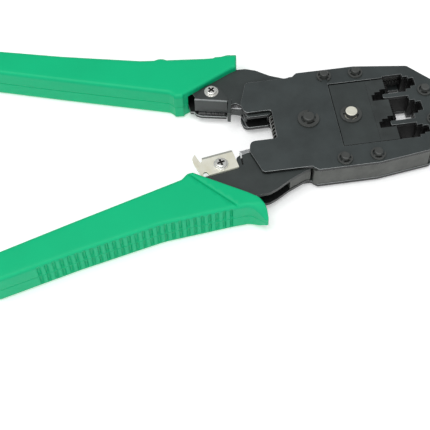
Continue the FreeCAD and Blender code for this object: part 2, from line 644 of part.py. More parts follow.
# Outlines of the +Y side, from the guard at the front round to the hand side.
GRIP_REST = [
    (-56.2, 22.7), (-102.0, 37.1, 60.0), (GRIP_BACK, 49.1, 4.8), (GRIP_BACK, 61.9, 6.6),
    (-100.0, 51.3, 60.0), (-66.0, 43.3, 40.0), (-38.0, 40.3, 20.0), (-30.6, 39.8, 5.0),
]
FIXED_GRIP_FRONT = [(-23.9, 44.8), (-24.4, 40.0), (-25.6, 33.0), (-28.0, 32.2), (-50.6, 20.4),
                    (-53.4, 20.0), (-54.4, 21.6)]
MOVING_GRIP_FRONT = [(-23.9, 44.8), (-24.8, 39.6, 6.0), (-29.5, 34.0, 8.0), (-49.9, 21.0, 1.0),
                     (-51.6, 19.9, 0.8), (-53.4, 19.9), (-54.4, 21.6)]


def hollow_grip(corners, tail):
    """Moulded grip pushed over an arm's tail, its long edges rounded for the hand."""
    body = prism(corners, 0.0, GRIP_HIGH)
    rims = []
    for edge in body.Edges:
        box = edge.BoundBox
        flat = box.ZMax < 0.01 or box.ZMin > GRIP_HIGH - 0.01
        if flat and box.XMin < -53.5:
            rims.append(edge)
    return body.makeFillet(GRIP_ROUND, rims).cut(prism(tail, ARM_LOW, ARM_HIGH))


TAIL_SPACE = [(-20.0, 33.9)] + TAIL_OUTER + [(-125.0, 47.5, 2.0), (-58.0, 26.3), (-46.6, 20.9), (-20.0, 18.0)]
export("fixed_grip", hollow_grip(FIXED_GRIP_FRONT + GRIP_REST, TAIL_SPACE))
export("moving_grip", hollow_grip(mirrored(MOVING_GRIP_FRONT + GRIP_REST), mirrored(TAIL_SPACE)))
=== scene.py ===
import math

import bpy
import bmesh
from mathutils import Matrix, Vector, geometry


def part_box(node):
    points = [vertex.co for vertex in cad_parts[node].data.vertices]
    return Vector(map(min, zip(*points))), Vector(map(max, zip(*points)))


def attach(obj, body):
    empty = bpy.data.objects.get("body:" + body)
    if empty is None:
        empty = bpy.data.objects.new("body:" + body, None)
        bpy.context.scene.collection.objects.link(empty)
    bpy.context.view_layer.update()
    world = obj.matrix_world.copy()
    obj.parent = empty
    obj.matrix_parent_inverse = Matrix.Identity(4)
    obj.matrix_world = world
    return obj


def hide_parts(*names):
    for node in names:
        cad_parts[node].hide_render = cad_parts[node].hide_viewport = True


# Looks of a crimping tool for modular plugs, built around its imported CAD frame.
# The frame is in metres. Outlines here are written in millimetres and scaled by MM.

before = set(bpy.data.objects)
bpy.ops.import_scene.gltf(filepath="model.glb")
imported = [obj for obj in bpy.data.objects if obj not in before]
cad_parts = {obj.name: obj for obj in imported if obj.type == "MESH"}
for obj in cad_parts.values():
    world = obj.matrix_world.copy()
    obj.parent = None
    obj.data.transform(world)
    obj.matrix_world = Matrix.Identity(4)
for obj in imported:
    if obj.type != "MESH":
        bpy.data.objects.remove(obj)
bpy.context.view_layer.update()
MM = 0.001


# ---- node trees --------------------------------------------------------------
class Tree:
    """Short-hand for building one material's nodes."""

    def __init__(self, name):
        self.material = bpy.data.materials.new(name)
        self.material.use_nodes = True
        self.nodes = self.material.node_tree.nodes
        self.links = self.material.node_tree.links
        self.shader = self.nodes["Principled BSDF"]
        self.place = self.nodes.new("ShaderNodeTexCoord").outputs["Object"]

    def add(self, kind, **inputs):
        node = self.nodes.new(kind)
        for name, value in inputs.items():
            self.plug(node.inputs[name], value)
        return node

    def plug(self, socket, value):
        if isinstance(value, bpy.types.NodeSocket):
            self.links.new(value, socket)
        else:
            socket.default_value = value

    def set(self, **values):
        for name, value in values.items():
            self.plug(self.shader.inputs[name.replace("_", " ")], value)

    def stretch(self, scale):
        """Object coordinates scaled along each axis."""
        node = self.add("ShaderNodeMapping", Vector=self.place, Scale=scale)
        return node.outputs["Vector"]

    def noise(self, scale, detail=3.0, roughness=0.5, where=None):
        node = self.add("ShaderNodeTexNoise", Vector=where or self.place, Scale=scale, Detail=detail,
                        Roughness=roughness)
        return node.outputs["Fac"]

    def ramp(self, factor, stops):
        """Straight ramp through stops of (position, value or colour)."""
        node = self.nodes.new("ShaderNodeValToRGB")
        elements = node.color_ramp.elements
        while len(elements) < len(stops):
            elements.new(0.5)
        for element, (position, value) in zip(elements, stops):
            element.position = position
            colour = value if isinstance(value, tuple) else (value, value, value)
            element.color = (*colour, 1.0)
        self.links.new(factor, node.inputs["Fac"])
        return node.outputs["Color"]

    def math(self, operation, a, b):
        node = self.nodes.new("ShaderNodeMath")
        node.operation = operation
        self.plug(node.inputs[0], a)
        self.plug(node.inputs[1], b)
        return node.outputs["Value"]

    def mix(self, factor, a, b, blend="MIX"):
        node = self.nodes.new("ShaderNodeMix")
        node.data_type = "RGBA"
        node.blend_type = blend
        self.plug(node.inputs["Factor"], factor)
        self.plug(node.inputs["A"], a if isinstance(a, bpy.types.NodeSocket) else (*a, 1.0))
        self.plug(node.inputs["B"], b if isinstance(b, bpy.types.NodeSocket) else (*b, 1.0))
        return node.outputs["Result"]

    def facing_up(self, top, side):
        """One value on faces that look up or down and another on upright ones."""
        split = self.add("ShaderNodeSeparateXYZ", Vector=self.nodes["Texture Coordinate"].outputs["Normal"])
        level = self.math("ABSOLUTE", split.outputs["Z"], 0.0)
        return self.mix(self.ramp(level, [(0.55, 0.0), (0.85, 1.0)]), side, top)

    def bump(self, height, strength, depth, before=None):
        node = self.add("ShaderNodeBump", Height=height, Strength=strength, Distance=depth)
        if before is not None:
            self.links.new(before, node.inputs["Normal"])
        return node.outputs["Normal"]


def lighter(colour, factor):
    return tuple(min(1.0, c * factor) for c in colour)


def black_paint(name, colour, roughness, side=1.0, mottle=0.14):
    """Thin satin enamel on sheet steel: fine orange peel, faint handling marks and dust.

    side is how bright the upright faces are beside the flat ones, a painted shade on them, and mottle how
    uneven the tone is.
    """
    t = Tree(name)
    patches = t.noise(90.0, 4.0, 0.6)
    specks = t.ramp(t.noise(2600.0, 2.0, 0.7), [(0.70, 0.0), (0.78, 1.0)])
    dark, pale = lighter(colour, 1 - mottle), lighter(colour, 1 + mottle)
    tone = t.mix(t.ramp(patches, [(0.35, 0.0), (0.65, 1.0)]), dark, pale)
    dusty = t.mix(t.math("MULTIPLY", specks, 0.5), tone, lighter(colour, 2.2))
    # Upright faces take the colour times side: a painted shade.
    t.set(Base_Color=t.facing_up(dusty, lighter(colour, side)))
    rub = t.noise(320.0, 5.0, 0.65, t.stretch((1.0, 0.35, 1.0)))
    t.set(Roughness=t.math("ADD", t.math("MULTIPLY", rub, 0.16), roughness - 0.08), IOR=1.5)
    peel = t.bump(t.noise(1500.0, 2.0), 0.12, 0.0003)
    t.set(Normal=t.bump(t.noise(5200.0, 2.0), 0.10, 0.0001, peel))
    return t.material


def blackened_steel(name, colour, roughness, grain):
    """Blackened bare steel, with the drawn grain of a sheared or milled edge along one axis."""
    t = Tree(name)
    lines = t.noise(900.0, 4.0, 0.6, t.stretch(grain))
    blotch = t.noise(150.0, 5.0, 0.65)
    tone = t.mix(t.ramp(blotch, [(0.36, 0.0), (0.66, 1.0)]), lighter(colour, 0.72), lighter(colour, 1.30))
    t.set(Base_Color=t.mix(t.math("MULTIPLY", lines, 0.55), tone, lighter(colour, 1.9)), Metallic=0.55)
    t.set(Roughness=t.math("ADD", t.math("MULTIPLY", lines, 0.22), roughness - 0.10))
    t.set(Normal=t.bump(lines, 0.25, 0.00012))
    return t.material


def bright_metal(name, colour, roughness, tarnish, grain=(1.0, 1.0, 1.0), matt=0.0, side=None):
    """Plated or ground metal with fine scratches and a little tarnish.

    Upright faces may have their own tone, side. matt takes that share off the metallic look.
    """
    t = Tree(name)
    scratches = t.noise(1400.0, 5.0, 0.7, t.stretch(grain))
    clouds = t.noise(260.0, 4.0, 0.6)
    spots = t.ramp(t.noise(1900.0, 3.0, 0.75), [(0.62, 0.0), (0.72, 1.0)])
    tone = t.mix(t.ramp(clouds, [(0.30, 0.0), (0.75, 1.0)]), colour, tarnish)
    face = t.mix(t.math("MULTIPLY", spots, 0.35), tone, lighter(tarnish, 0.7))
    t.set(Base_Color=face if side is None else t.facing_up(face, side), Metallic=1.0 - matt)
    t.set(Roughness=t.math("ADD", t.math("MULTIPLY", scratches, 0.26), roughness - 0.10))
    t.set(Normal=t.bump(scratches, 0.22, 0.0001))
    return t.material


def moulded_vinyl(name, colour):
    """Satin green vinyl: soft mottling, spark-eroded mould texture, a few pale scuffs and a painted shade on
    the upright faces.
    """
    t = Tree(name)
    clouds = t.noise(55.0, 3.0, 0.5)
    scuffs = t.ramp(t.noise(420.0, 3.0, 0.8), [(0.72, 0.0), (0.80, 1.0)])
    tone = t.mix(clouds, lighter(colour, 0.93), lighter(colour, 1.07))
    scuffed = t.mix(t.math("MULTIPLY", scuffs, 0.10), tone, (0.30, 0.75, 0.50))
    # Upright faces get a darker, bluer copy of the colour: a painted shade.
    shade = t.mix(1.0, scuffed, (0.86, 0.86, 0.90), "MULTIPLY")
    t.set(Base_Color=t.facing_up(scuffed, shade))
    t.set(Roughness=t.ramp(t.noise(700.0, 3.0), [(0.3, 0.40), (0.7, 0.52)]), Specular_IOR_Level=0.22)
    skin = t.bump(t.noise(2400.0, 2.0, 0.6), 0.10, 0.0002)
    t.set(Normal=t.bump(t.noise(160.0, 2.0), 0.10, 0.0006, skin))
    return t.material


# The number after roughness is side: the head, arms, ram and punch block get a painted shade on their
# upright faces.
HEAD_BLACK = black_paint("head_black", (0.037, 0.045, 0.045), 0.38, 0.12)
ARM_BLACK = black_paint("arm_black", (0.034, 0.041, 0.040), 0.38, 0.20)
COVER_BLACK = black_paint("cover_black", (0.038, 0.044, 0.043), 0.36)
# A darker copy of the arm paint for the bottom plates, spacers and spring seats: painted shade on the lower,
# inner parts.
INNER_PAINTED_SHADE = black_paint("inner_painted_shade", (0.011, 0.012, 0.012), 0.34)
RAM_BLACK = black_paint("ram_black", (0.034, 0.041, 0.040), 0.40, 0.25)
PUNCH_BLACK = black_paint("punch_black", (0.032, 0.038, 0.037), 0.46, 0.12, 0.30)
PIN_BLACK = black_paint("pin_black", (0.055, 0.058, 0.055), 0.40)
EDGE_STEEL = blackened_steel("edge_steel", (0.070, 0.073, 0.068), 0.46, (1.0, 1.0, 0.15))
# Near black for the die block, ram core, contact combs, plungers and ram springs: blackened steel, made
# darker as a painted shade inside the nests and the ram.
DIE_STEEL_AND_SHADE = blackened_steel("die_steel", (0.010, 0.010, 0.010), 0.50, (1.0, 1.0, 0.2))
COMB_STEEL_AND_SHADE = blackened_steel("comb_steel_and_shade", (0.012, 0.012, 0.012), 0.50, (1.0, 1.0, 1.0))
CAM_STEEL = bright_metal("cam_steel", (0.42, 0.42, 0.43), 0.35, (0.30, 0.28, 0.26))
PIN_NICKEL = bright_metal("pin_nickel", (0.84, 0.83, 0.72), 0.40, (0.70, 0.67, 0.56), matt=0.65,
                          side=(0.10, 0.10, 0.09))
SCREW_NICKEL = bright_metal("screw_nickel", (0.86, 0.86, 0.83), 0.24, (0.72, 0.70, 0.66), matt=0.30)
STOP_ZINC = bright_metal("stop_zinc", (0.84, 0.83, 0.73), 0.44, (0.74, 0.71, 0.56), (0.3, 1.0, 1.0),
                         matt=0.55)
BLADE_GROUND = bright_metal("blade_ground", (0.74, 0.75, 0.76), 0.26, (0.60, 0.60, 0.60), (1.0, 0.08, 1.0))
SPRING_WIRE = bright_metal("spring_wire", (0.34, 0.34, 0.34), 0.34, (0.22, 0.21, 0.20))
BUSH_BRONZE = bright_metal("bush_bronze", (0.60, 0.42, 0.20), 0.42, (0.44, 0.32, 0.18))
GRIP_GREEN = moulded_vinyl("grip_green", (0.001, 0.490, 0.205))
# Pale metal for the broken edges of the black paints: partly wear, partly a painted highlight.
EDGE_WEAR_AND_HIGHLIGHT = bright_metal("edge_wear_and_highlight", (0.36, 0.38, 0.38), 0.30, (0.22, 0.23, 0.23), matt=0.30)
BEND_PAINTED_HIGHLIGHT = bright_metal("bend_painted_highlight", (0.18, 0.19, 0.19), 0.30, (0.11, 0.12, 0.12), matt=0.40)
RECESS_PAINTED_SHADE = blackened_steel("recess_painted_shade", (0.030, 0.028, 0.026), 0.60, (1.0, 1.0, 1.0))
ZINC_GROUND = bright_metal("zinc_ground", (0.52, 0.52, 0.47), 0.50, (0.44, 0.43, 0.38), matt=0.60)


# ---- CAD nodes that keep their shape ------------------------------------------
WELD_REACH = 1e-6            # metres
FLAT_ANGLE = math.radians(1.0)
EDGE_ANGLE = math.radians(40.0)
EDGE_STEPS = 2
FLAT_WEIGHT = 90
# Paints whose broken edges get that pale metal: partly wear, partly a painted highlight.
WEAR_AND_HIGHLIGHT_PAINTS = (HEAD_BLACK, ARM_BLACK, INNER_PAINTED_SHADE)


def dress(node, material, edge):
    """Gives a CAD node its material and, where edge is above 0, softly broken edges of that width in mm.

    The broken edges of sheet steel in these paints get a pale metal colour, partly rubbed bright by wear and
    partly a painted highlight.
    """
    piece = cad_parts[node]
    if not piece.material_slots:
        piece.data.materials.append(material)
    for place in piece.material_slots:
        place.material = material
    weld = piece.modifiers.new("weld", "WELD")
    weld.merge_threshold = WELD_REACH
    if edge > 0:
        flat = piece.modifiers.new("flat", "DECIMATE")
        flat.decimate_type = "DISSOLVE"
        flat.angle_limit = FLAT_ANGLE
        bevel = piece.modifiers.new("edge", "BEVEL")
        bevel.width = edge * MM
        bevel.segments = EDGE_STEPS
        bevel.limit_method = "ANGLE"
        bevel.angle_limit = EDGE_ANGLE
        bevel.use_clamp_overlap = True
        if material in WEAR_AND_HIGHLIGHT_PAINTS:
            piece.data.materials.append(EDGE_WEAR_AND_HIGHLIGHT)
            bevel.material = 1
        normals = piece.modifiers.new("normals", "WEIGHTED_NORMAL")
        normals.keep_sharp = True
        normals.weight = FLAT_WEIGHT


# material: node, and the width of its broken edges in mm
DRESS = {
    HEAD_BLACK: {"top_side_plate": 0.28, "bottom_side_plate": 0.28},
    ARM_BLACK: {"fixed_arm_top_plate": 0.20, "moving_arm_top_plate": 0.20},
    COVER_BLACK: {"blade_cover": 0.10, "cable_fork": 0.15},
    INNER_PAINTED_SHADE: {"fixed_arm_bottom_plate": 0.20, "moving_arm_bottom_plate": 0.20, "fixed_arm_spacer": 0.12,
                  "moving_arm_spacer": 0.12, "fixed_spring_seat": 0.15, "moving_spring_seat": 0.15},
    RAM_BLACK: {"ram_top_plate": 0.10, "ram_bottom_plate": 0.10},
    PUNCH_BLACK: {"punch_block": 0.12},
    PIN_BLACK: {"frame_pins": 0.0, "frame_pin_clips": 0.10, "pivot_pin": 0.0, "pivot_clips": 0.12,
                "ram_pin_clips": 0.12},
    EDGE_STEEL: {"upper_side_wall": 0.15, "lower_side_wall": 0.15, "moving_arm_web": 0.12},
    DIE_STEEL_AND_SHADE: {"die_block": 0.12, "ram_core": 0.10},
    CAM_STEEL: {"nose_cam": 0.15, "cam_roller": 0.10},
    COMB_STEEL_AND_SHADE: {"ram_return_springs": 0.0,
                 "contact_comb_8p": 0.0, "contact_comb_6p": 0.0, "contact_comb_4p": 0.0,
                 "strain_plunger_8p": 0.05, "strain_plunger_6p": 0.05, "strain_plunger_4p": 0.05},
    PIN_NICKEL: {"ram_pin": 0.0, "cam_rivets": 0.0},
    SCREW_NICKEL: {"cover_screw": 0.06, "cover_screw_washer": 0.08, "stop_screw": 0.06,
                   "stop_screw_washer": 0.08},
    STOP_ZINC: {"stop_plate": 0.10},
    BLADE_GROUND: {"cutter_blade": 0.0, "strip_blade": 0.0, "anvil_strip": 0.08},
    SPRING_WIRE: {"return_spring": 0.0},
    BUSH_BRONZE: {"pivot_bush": 0.1},
}
for material, nodes in DRESS.items():
    for node, edge in nodes.items():
        dress(node, material, edge)


def tint(node, material, chosen):
    """Gives another material to the faces of a CAD node that a test on (centre, normal) picks, in mm."""
    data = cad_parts[node].data
    data.materials.append(material)
    for face in data.polygons:
        if chosen(face.center / MM, face.normal):
            face.material_index = len(data.materials) - 1


RECESS_R = 1.65
RECESS_DEPTH = 1.0
HEAD_SKIN = 0.05             # faces nearer than this to the head's top are its own


def in_recess(node):
    """Test for the walls and floor of a screw's cross recess, which get a painted shade."""
    low, high = (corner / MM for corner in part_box(node))
    middle = (low + high) / 2

    def test(spot, normal):
        inside = (spot - middle).to_2d().length < RECESS_R
        return inside and high.z - RECESS_DEPTH < spot.z < high.z - HEAD_SKIN

    return test


def on_ground_slope(spot, normal):
    """Test for the slope that is ground along the stop plate's edge."""
    return 0.80 < normal.z < 0.98


def on_cover_bend(spot, normal):
    """Test for the faces of the blade cover's bend that tilt towards the front, where a highlight is
    painted.
    """
    return normal.y < -0.30 and normal.z > 0.30


# The screws' cross recesses get a near-black colour: a painted shade.
for node in ("cover_screw", "stop_screw"):
    tint(node, RECESS_PAINTED_SHADE, in_recess(node))
tint("stop_plate", ZINC_GROUND, on_ground_slope)
# The cover's bend gets a painted highlight.
tint("blade_cover", BEND_PAINTED_HIGHLIGHT, on_cover_bend)


# ---- moulded grips -------------------------------------------------------------
GRIP_LOW, GRIP_TOP = (corner.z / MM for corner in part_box("moving_grip"))
GRIP_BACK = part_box("moving_grip")[0].x / MM
PARTING_Z = (GRIP_LOW + GRIP_TOP) / 2
HALF_HEIGHT = GRIP_TOP - PARTING_Z
PARTING_ROWS = [(0.40, 0.0), (0.04, 0.20), (0.0, 0.34)]    # inset and height above the parting line
WALL_START = 0.55            # first row of the plain side, above the parting line
STEP = 0.35                  # spacing of the points round a grip
WALL_ROWS = 9                # rows of points up the side
RIM_ROWS = 8                 # rows of points round the rim
ROUND = 1.7                  # radius of the long top and bottom edges
ARM_ROUND = 1.1              # the same where the grip meets the arm
TIP_ROUND = 0.5              # the same at the guard's tip
RIB_PITCH = 2.95
RIB_DEPTH = 0.85
RIB_HALF = 0.27              # half width of a rib's groove, as a share of the pitch
RIB_FROM, RIB_TO = -116.5, -38.0
RIB_END_LOW = (0.25, 0.7)    # where a groove fades in above the parting line
RIB_END_HIGH = (-0.3, 0.9)   # and out again, from the rim's lower edge
HAND_FACING = (0.55, 0.8)    # Y of the outline's normal, from no ribs to full ribs
ARM_FACING = (0.25, 0.6)     # X of the normal, from the full rim to the arm's small one
ARM_SIDE_X = (-58.0, -54.0)
TIP_X, TIP_Y = (-30.0, -25.0), (40.0, 43.0)
TIP_DROOP = 6.2              # fall of the top towards the guard's tip
DROOP_X, DROOP_Y = (-34.0, -25.0), (38.6, 46.0)
PIP_X, PIP_HALF, PIP_HEIGHT = -57.6, 2.6, 0.8
GUARD_STEP = 0.6
GUARD_STEP_X = (-35.0, -33.6)
FLANGE_HEIGHT = 0.55
FLANGE_START = (-54.6, -53.9)
FLANGE_END = (-50.6, -49.9)
LIP_RISE = 0.10
LIP_GROOVE = 0.55
LIP_GROOVE_HALF = 0.45
LIP_BLEND = (-0.1, 0.5)      # across the groove's line, from behind to ahead
LIP_LEVELS = (1.2, 0.1)      # below the top, where the lip's change of height fades in
ARM_LOW, ARM_HIGH = (corner.z / MM for corner in (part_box("moving_arm_bottom_plate")[0],
                                                 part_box("moving_arm_top_plate")[1]))

# Outlines of the +Y side, from the guard at the front round to the hand side: x, y, radius.
GRIP_REST = [
    (-56.2, 22.7, 2.0), (-102.0, 37.1, 60.0), (GRIP_BACK, 49.1, 4.8), (GRIP_BACK, 61.9, 6.6),
    (-100.0, 51.3, 60.0), (-66.0, 43.3, 40.0), (-38.0, 40.3, 20.0), (-30.6, 39.8, 5.0),
]
FIXED_FRONT = [
    (-23.9, 45.2, 0.7), (-24.4, 40.0, 6.0), (-25.6, 33.0, 0.8), (-28.0, 32.2, 0.8),
    (-50.6, 20.4, 1.2), (-54.2, 20.6, 1.4),
]
MOVING_FRONT = [
    (-23.9, 45.4, 0.7), (-24.4, 40.5, 8.0), (-26.6, 36.0, 5.0), (-31.0, 32.8, 8.0),
    (-49.9, 21.0, 1.2), (-51.6, 19.9, 1.0), (-53.6, 20.2, 1.2),
]
# groove behind the moving grip's front lip
LIP_START, LIP_END = Vector((-52.8, 21.3)), Vector((-35.9, 39.2))
LIP_LENGTH = (LIP_END - LIP_START).length
LIP_WAY = (LIP_END - LIP_START).normalized()
LIP_ASIDE = Vector((LIP_WAY.y, -LIP_WAY.x))


def rounded(corners, step):
    """Evenly spaced points round a polygon of (x, y, radius) corners."""
    line = []
    count = len(corners)
    for i, (x, y, radius) in enumerate(corners):
        here = Vector((x, y))
        back = (Vector(corners[i - 1][:2]) - here).normalized()
        ahead = (Vector(corners[(i + 1) % count][:2]) - here).normalized()
        half = back.angle(ahead) / 2
        centre = here + (back + ahead).normalized() * radius / math.sin(half)
        start = here + back * radius / math.tan(half)
        sweep = math.pi - 2 * half
        turn = 1 if back.x * ahead.y - back.y * ahead.x < 0 else -1
        arms = max(2, math.ceil(sweep * radius / step))
        for k in range(arms + 1):
            angle = turn * sweep * k / arms
            line.append(centre + Matrix.Rotation(angle, 2) @ (start - centre))
    lengths = [0.0]
    for a, b in zip(line, line[1:] + line[:1]):
        lengths.append(lengths[-1] + (b - a).length)
    total = lengths[-1]
    steps = round(total / step)
    points = []
    j = 0
    for k in range(steps):
        want = total * k / steps
        while lengths[j + 1] < want:
            j += 1
        share = (want - lengths[j]) / max(1e-9, lengths[j + 1] - lengths[j])
        points.append(line[j].lerp(line[(j + 1) % len(line)], share))
    return points


def smooth_step(low, high, value):
    t = min(1.0, max(0.0, (value - low) / (high - low)))
    return t * t * (3 - 2 * t)


def outward(points):
    """Unit normals of a closed counter-clockwise line."""
    count = len(points)
    normals = []
    for i in range(count):
        along = points[(i + 1) % count] - points[i - 1]
        normals.append(Vector((along.y, -along.x)).normalized())
    return normals


def rib_depth(x, z):
    """Depth of the finger ribs' grooves at a place on the hand side."""
    if not RIB_FROM < x < RIB_TO:
        return 0.0
    phase = ((x - RIB_FROM) / RIB_PITCH) % 1.0
    across = max(0.0, 1.0 - abs(phase - 0.5) / RIB_HALF)
    off_middle = abs(z - PARTING_Z)
    past_rim = off_middle - (HALF_HEIGHT - ROUND)
    along = smooth_step(*RIB_END_LOW, off_middle) * (1 - smooth_step(*RIB_END_HIGH, past_rim))
    return RIB_DEPTH * smooth_step(0.0, 0.55, across) * along


def relief(x, facing):
    """Raised parts of the fixed grip's outline: pip and guard step on the hand side, flange on the other."""
    if facing > 0.3:
        pip = PIP_HEIGHT * max(0.0, 1 - ((x - PIP_X) / PIP_HALF) ** 2)
        return pip + GUARD_STEP * smooth_step(*GUARD_STEP_X, x)
    if facing < -0.3:
        return FLANGE_HEIGHT * smooth_step(*FLANGE_START, x) * (1 - smooth_step(*FLANGE_END, x))
    return 0.0


def lip_height(x, y):
    """Height of the moving grip's front lip above its flat top, with the groove behind it."""
    ahead = (Vector((x, y)) - LIP_START).dot(LIP_ASIDE)
    groove = LIP_GROOVE * max(0.0, 1 - abs(ahead) / LIP_GROOVE_HALF)
    return LIP_RISE * smooth_step(*LIP_BLEND, ahead) - groove


def clear_of(spot, line, room):
    """True inside a closed line and at least room away from its points."""
    crossings = 0
    for a, b in zip(line, line[1:] + line[:1]):
        if (spot - a).length_squared < room * room:
            return False
        if (a.y > spot.y) != (b.y > spot.y) and spot.x < a.x + (b.x - a.x) * (spot.y - a.y) / (b.y - a.y):
            crossings += 1
    return crossings % 2 == 1


# Spacing of the extra points on a flat top, and their distance from its rim.
TOP_SPACING, TOP_ROOM = 1.6, 0.9
TIP_CORNER = Vector((-34.0, 35.5))
TIP_SPACING, TIP_ROOM, TIP_COUNT = 0.7, 0.45, 16
LIP_SPACING, LIP_ROOM = 0.4, 0.3
LIP_OFFSETS = (-0.5, -0.25, 0.0, 0.25, 0.5)


def top_grid(rim):
    """Staggered points over the flat top, except at the guard's tip."""
    left, near = min(p.x for p in rim), min(p.y for p in rim)
    wide, deep = max(p.x for p in rim) - left, max(p.y for p in rim) - near
    spots = []
    for i in range(int(wide / TOP_SPACING)):
        for j in range(int(deep / TOP_SPACING)):
            spot = Vector((left + (i + 0.5 + 0.5 * (j % 2)) * TOP_SPACING, near + (j + 0.5) * TOP_SPACING))
            in_tip = spot.x > TIP_CORNER.x - 0.6 and spot.y > TIP_CORNER.y - 0.5
            if clear_of(spot, rim, TOP_ROOM) and not in_tip:
                spots.append(spot)
    return spots


def tip_grid(rim):
    """Denser points at the guard's tip, where the top droops."""
    spots = []
    for i in range(TIP_COUNT):
        for j in range(TIP_COUNT):
            spot = TIP_CORNER + Vector((i, j)) * TIP_SPACING
            if clear_of(spot, rim, TIP_ROOM):
                spots.append(spot)
    return spots


def near_lip(spot):
    """True beside the groove behind the lip."""
    along = (spot - LIP_START).dot(LIP_WAY)
    return abs((spot - LIP_START).dot(LIP_ASIDE)) <= 1.0 and -1 < along < LIP_LENGTH + 1


def lip_grid(rim):
    """Rows of points along the groove behind the lip."""
    spots = []
    for k in range(int(LIP_LENGTH / LIP_SPACING) + 1):
        for off in LIP_OFFSETS:
            spot = LIP_START + LIP_WAY * LIP_SPACING * k + LIP_ASIDE * off
            if clear_of(spot, rim, LIP_ROOM):
                spots.append(spot)
    return spots


class Grip:
    """One moulded grip. It is worked out on the +Y side and mirrored for the moving handle, side -1."""

    def __init__(self, name, node, body, side, front, lip):
        self.name, self.node, self.body, self.side, self.lip = name, node, body, side, lip
        corners = front + GRIP_REST
        self.points = rounded(corners, STEP)
        if sum(a.x * b.y - a.y * b.x for a, b in zip(self.points, self.points[1:] + self.points[:1])) < 0:
            self.points.reverse()
        self.normals = outward(self.points)

    def edge_round(self, point, normal):
        """Size of the rounded rim at a place on the outline, smaller where it meets the arm."""
        faces_arm = smooth_step(*ARM_FACING, normal.x) * smooth_step(*ARM_SIDE_X, point.x)
        size = ROUND * (1 - faces_arm) + ARM_ROUND * faces_arm
        tip = smooth_step(*TIP_X, point.x) * smooth_step(*TIP_Y, point.y)
        return size + (TIP_ROUND - size) * tip

    def profile(self, point, normal):
        """Points (inset, z) up the side and over the rim, from the parting line to the flat top."""
        size = self.edge_round(point, normal)
        rows = [(inset, PARTING_Z + rise) for inset, rise in PARTING_ROWS]
        low, high = PARTING_Z + WALL_START, GRIP_TOP - size
        for k in range(WALL_ROWS):
            rows.append((0.0, low + (high - low) * k / WALL_ROWS))
        for k in range(RIM_ROWS + 1):
            angle = math.pi / 2 * k / RIM_ROWS
            rows.append((size * (1 - math.cos(angle)), high + size * math.sin(angle)))
        return rows

    def rings(self):
        """Rows of points from the parting line to the top rim."""
        columns = []
        for point, normal in zip(self.points, self.normals):
            hand = smooth_step(*HAND_FACING, normal.y)
            column = []
            for inset, z in self.profile(point, normal):
                depth = inset + hand * rib_depth(point.x, z)
                if not self.lip:
                    depth -= relief(point.x, normal.y)
                place = point - normal * depth
                rise = self.top_detail(place, z)
                column.append(Vector((place.x, place.y, z + rise)))
            columns.append(column)
        return [list(row) for row in zip(*columns)]

    def top_detail(self, place, z):
        """Change of height at a place: the tip droops, and the moving grip has its lip and groove."""
        share = (z - PARTING_Z) / HALF_HEIGHT
        rise = -share * TIP_DROOP * smooth_step(*DROOP_Y, place.y) * smooth_step(*DROOP_X, place.x)
        if self.lip:
            at_top = smooth_step(*(GRIP_TOP - level for level in LIP_LEVELS), z)
            rise += at_top * (lip_height(place.x, place.y) - LIP_RISE)
        return rise

    def cap(self, row):
        """Points and triangles that fill the flat top inside the last row."""
        rim = [Vector((p.x, p.y)) for p in row]
        inside = top_grid(rim) + tip_grid(rim)
        if self.lip:
            inside = [spot for spot in inside if not near_lip(spot)] + lip_grid(rim)
        count = len(rim)
        edges = [(i, (i + 1) % count) for i in range(count)]
        found, _, faces, origin, _, _ = geometry.delaunay_2d_cdt(rim + inside, edges, [], 1, 1e-5)
        points = [Vector((p.x, p.y, GRIP_TOP + self.top_detail(p, GRIP_TOP))) for p in found]
        return points, faces, origin

    def build(self):
        """The whole skin: the upper half and its mirror image below the parting line."""
        rows = self.rings()
        found, faces, origin = self.cap(rows[-1])
        flip = 2 * PARTING_Z
        mesh = bmesh.new()

        def place(p, under):
            z = flip - p.z if under else p.z
            return mesh.verts.new((p.x * MM, self.side * p.y * MM, z * MM))

        middle = [place(p, False) for p in rows[0]]
        for under in (False, True):
            grid = [middle] + [[place(p, under) for p in row] for row in rows[1:]]
            count = len(middle)
            for low, high in zip(grid, grid[1:]):
                for i in range(count):
                    j = (i + 1) % count
                    mesh.faces.new((low[i], low[j], high[j], high[i]))
            rim = grid[-1]
            spots = []
            for k, p in enumerate(found):
                same = [n for n in origin[k] if n < count]
                spots.append(rim[same[0]] if same else place(p, under))
            for face in faces:
                corners = [spots[n] for n in face]
                if len(set(corners)) >= 3:
                    mesh.faces.new(corners)
        bmesh.ops.recalc_face_normals(mesh, faces=mesh.faces)
        data = bpy.data.meshes.new(self.name)
        mesh.to_mesh(data)
        mesh.free()
        piece = bpy.data.objects.new(self.name, data)
        bpy.context.scene.collection.objects.link(piece)
        return piece


SHARP_ANGLE = math.radians(50.0)
TAIL_ROOM = 0.02             # above and below the arm's tail inside a grip


def finish_piece(piece, material, body, slot, *replaced):
    """Smooth shading up to an angle, then material, body and the nodes it stands for; slot is not used."""
    data = piece.data
    data.materials.clear()
    data.materials.append(material)
    for face in data.polygons:
        face.use_smooth = True
    data.set_sharp_from_angle(angle=SHARP_ANGLE)
    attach(piece, body)
    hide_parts(*replaced)


# Channel inside each grip that holds the arm's tail, on the +Y side.
CHANNEL = [
    (-18.0, 33.9), (-27.4, 33.6), (-40.0, 37.6), (-62.0, 40.0), (-128.0, 56.0),
    (-125.0, 47.5), (-58.0, 26.3), (-46.6, 20.9), (-18.0, 16.0),
]


